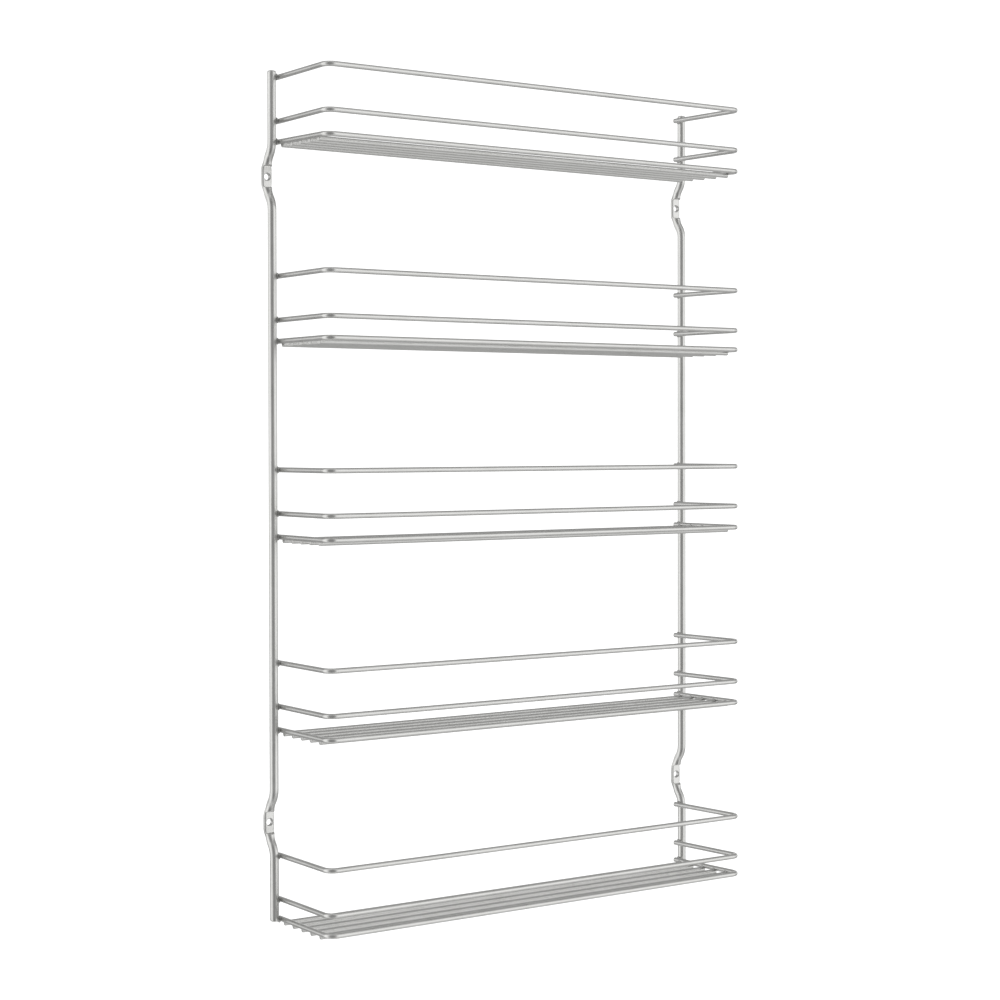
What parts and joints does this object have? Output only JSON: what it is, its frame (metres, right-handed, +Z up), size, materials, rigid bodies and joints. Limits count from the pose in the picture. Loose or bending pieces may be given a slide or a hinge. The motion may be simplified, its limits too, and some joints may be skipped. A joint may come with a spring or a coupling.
{
  "type": "wall spice rack",
  "caption": "Open wall-mounted wire spice rack: shallow stacked tiers of guard rails and wire floors, welded to uprights with pressed screw eyes.",
  "frame": {"origin": "on the wall plane, at the centre of the four fixing holes", "axes": "+X to the right along the rack's width, +Y into the wall, so the front faces -Y, +Z up"},
  "size_m": [0.3648, 0.0777, 0.5703],
  "materials": {
    "bar_steel": "satin silver plating on round bar",
    "rail_steel": "satin silver plating on wire",
    "floor_steel": "satin silver plating on wire"
  },
  "bodies": {
    "root": {"upright_left": "bar_steel", "upright_right": "bar_steel", "tier_1_upper_rail": "rail_steel", "tier_1_lower_rail": "rail_steel", "tier_1_floor_frame": "rail_steel", "tier_1_floor_wire_1": "floor_steel", "tier_1_floor_wire_2": "floor_steel", "tier_1_floor_wire_3": "floor_steel", "tier_1_floor_wire_4": "floor_steel", "tier_1_floor_wire_5": "floor_steel", "tier_2_upper_rail": "rail_steel", "tier_2_lower_rail": "rail_steel", "tier_2_floor_frame": "rail_steel", "tier_2_floor_wire_1": "floor_steel", "tier_2_floor_wire_2": "floor_steel", "tier_2_floor_wire_3": "floor_steel", "tier_2_floor_wire_4": "floor_steel", "tier_2_floor_wire_5": "floor_steel", "tier_3_upper_rail": "rail_steel", "tier_3_lower_rail": "rail_steel", "tier_3_floor_frame": "rail_steel", "tier_3_floor_wire_1": "floor_steel", "tier_3_floor_wire_2": "floor_steel", "tier_3_floor_wire_3": "floor_steel", "tier_3_floor_wire_4": "floor_steel", "tier_3_floor_wire_5": "floor_steel", "tier_4_upper_rail": "rail_steel", "tier_4_lower_rail": "rail_steel", "tier_4_floor_frame": "rail_steel", "tier_4_floor_wire_1": "floor_steel", "tier_4_floor_wire_2": "floor_steel", "tier_4_floor_wire_3": "floor_steel", "tier_4_floor_wire_4": "floor_steel", "tier_4_floor_wire_5": "floor_steel", "tier_5_upper_rail": "rail_steel", "tier_5_lower_rail": "rail_steel", "tier_5_floor_frame": "rail_steel", "tier_5_floor_wire_1": "floor_steel", "tier_5_floor_wire_2": "floor_steel", "tier_5_floor_wire_3": "floor_steel", "tier_5_floor_wire_4": "floor_steel", "tier_5_floor_wire_5": "floor_steel"}
  },
  "joints": []
}
